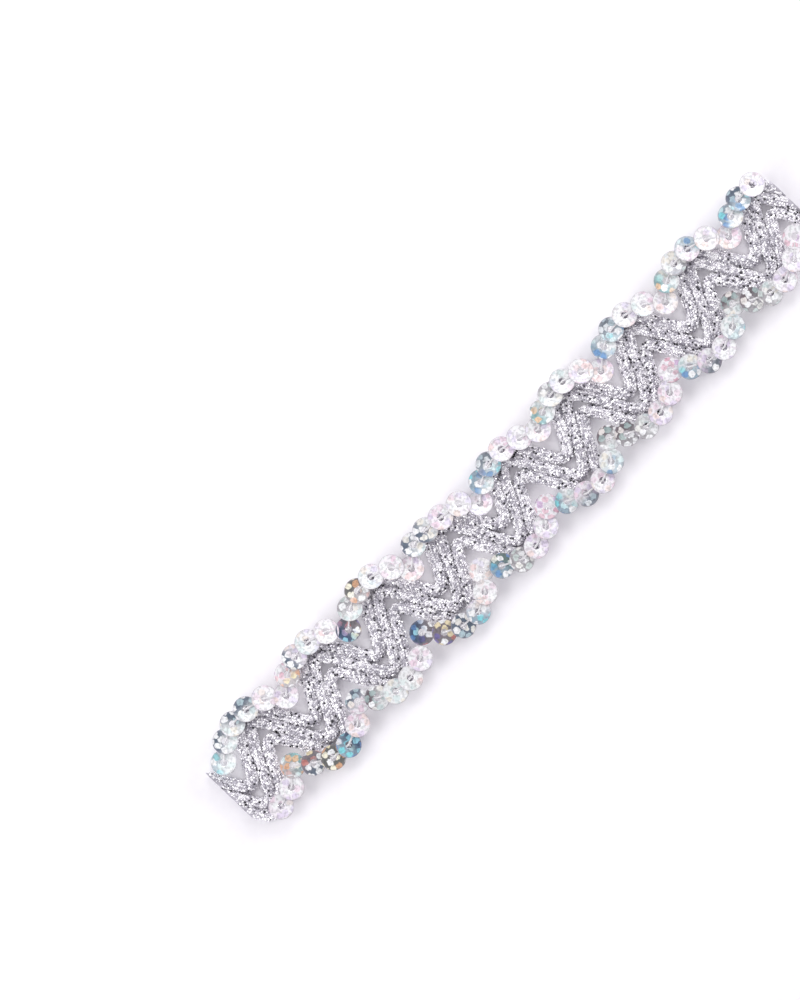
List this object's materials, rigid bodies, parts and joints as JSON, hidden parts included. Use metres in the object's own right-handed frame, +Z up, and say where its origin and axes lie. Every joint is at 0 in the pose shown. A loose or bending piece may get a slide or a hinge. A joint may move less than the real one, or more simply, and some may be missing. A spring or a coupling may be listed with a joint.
{
  "type": "sequin trim",
  "caption": "Cut length of narrow wavy trim: nested silver metallic cords with a row of round hologram sequins sewn along each edge.",
  "frame": {"origin": "middle of the trim's length and width, on the flat underside of its cords", "axes": "+X along the trim, +Y across it, +Z up, out of the side that the sequins are sewn on"},
  "size_m": [0.1574, 0.0247, 0.0033],
  "materials": {
    "lurex_cord": "glittering silver metallic yarn",
    "hologram_sequin": "glossy pearly film with coloured hologram dots"
  },
  "bodies": {
    "root": {"braid": "lurex_cord", "sequins_upper": "hologram_sequin", "sequins_lower": "hologram_sequin"}
  },
  "joints": []
}
